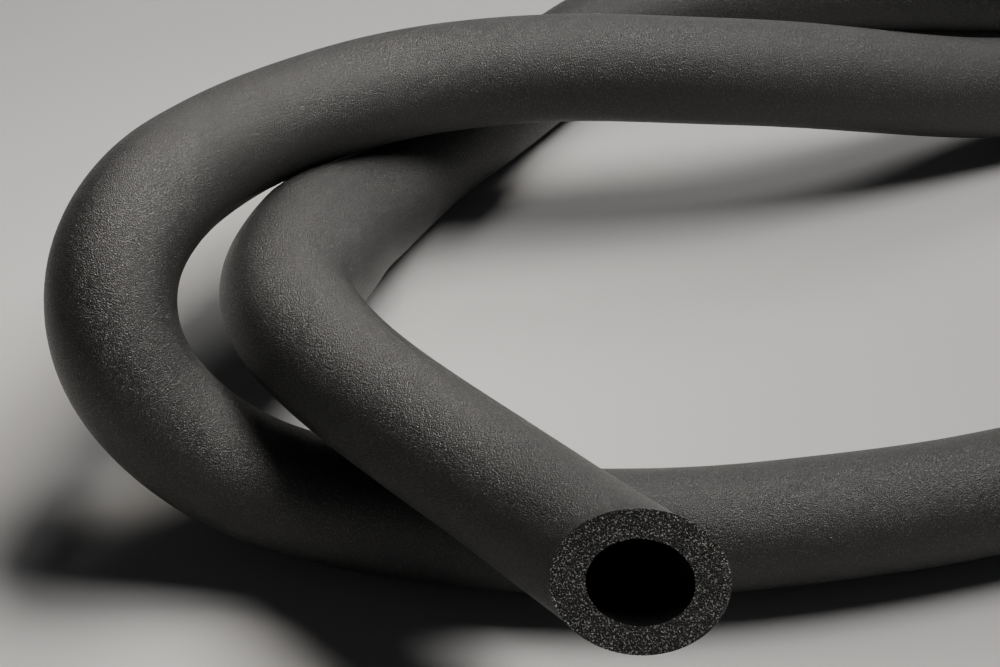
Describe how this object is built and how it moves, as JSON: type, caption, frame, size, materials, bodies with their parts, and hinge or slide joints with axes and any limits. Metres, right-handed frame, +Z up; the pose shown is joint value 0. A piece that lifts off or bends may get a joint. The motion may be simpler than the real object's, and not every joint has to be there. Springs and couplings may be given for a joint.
{
  "type": "pipe insulation lagging",
  "caption": "Long flexible black foam tube that slides over a pipe to insulate it, lying in a loose coil with a cut end raised at the front.",
  "frame": {"origin": "on the floor under the middle of the coil's outline", "axes": "+Z up off the floor, +X along the coil's long side, and the raised cut end at the front looks along -Y"},
  "size_m": [0.5566, 0.316, 0.0863],
  "materials": {
    "foam": "matte charcoal skin with a fine pebbled grain, and open cells on the cut faces"
  },
  "bodies": {
    "root": {"insulation_tube": "foam"}
  },
  "joints": []
}
